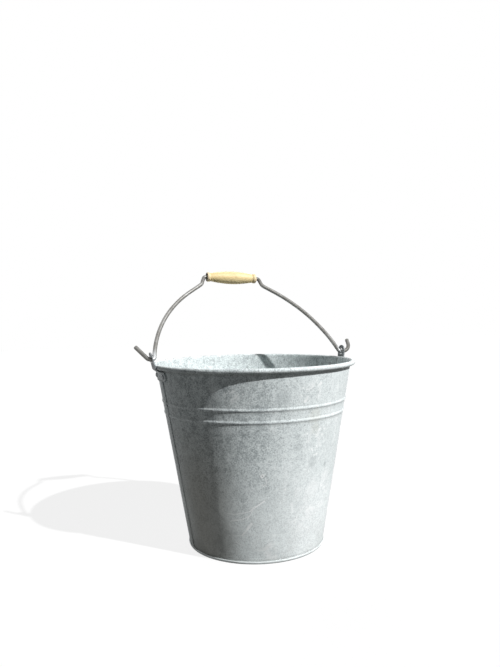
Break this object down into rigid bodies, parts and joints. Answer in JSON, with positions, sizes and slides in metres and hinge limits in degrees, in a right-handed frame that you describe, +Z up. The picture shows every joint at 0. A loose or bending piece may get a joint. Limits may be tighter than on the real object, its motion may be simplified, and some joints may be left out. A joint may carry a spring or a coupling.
{
  "type": "galvanised metal bucket",
  "caption": "Tapered galvanised steel bucket with a rolled rim, pressed beads, riveted ears and a swinging wire bail with a turned wooden grip.",
  "frame": {"origin": "on the floor under the middle of the base", "axes": "+Z up along the body's axis; the ears lie on the X axis; the bail leans back towards +Y at rest"},
  "size_m": [0.3497, 0.3, 0.4079],
  "materials": {
    "galvanised_sheet": "matte weathered zinc with soft spangle, oxide bloom and small scratches",
    "galvanised_base": "matte weathered zinc",
    "ear_steel": "dull zinc, darker than the walls",
    "rivet_steel": "dull zinc",
    "bail_wire": "zinc coated wire, slightly dull",
    "turned_wood": "bare pale wood, worn smooth"
  },
  "bodies": {
    "bucket": {"front_wall": "galvanised_sheet", "back_wall": "galvanised_sheet", "base_plate": "galvanised_base", "ear_left": "ear_steel", "ear_right": "ear_steel", "rivet_left_front": "rivet_steel", "rivet_left_back": "rivet_steel", "rivet_right_front": "rivet_steel", "rivet_right_back": "rivet_steel"},
    "bail": {"bail": "bail_wire"},
    "grip": {"grip": "turned_wood"}
  },
  "joints": [
    {"name": "bail_swing", "type": "hinge", "parent": "bucket", "child": "bail", "pos_m": [0, 0, 0.2755], "axis": [-1, 0, 0], "range_deg": [-131.5, 51.5]},
    {"name": "grip_spin", "type": "hinge", "parent": "bail", "child": "grip", "pos_m": [0.0056, 0.10236, 0.39749], "axis": [0.9992, -0.0252, -0.0301], "continuous": true}
  ]
}
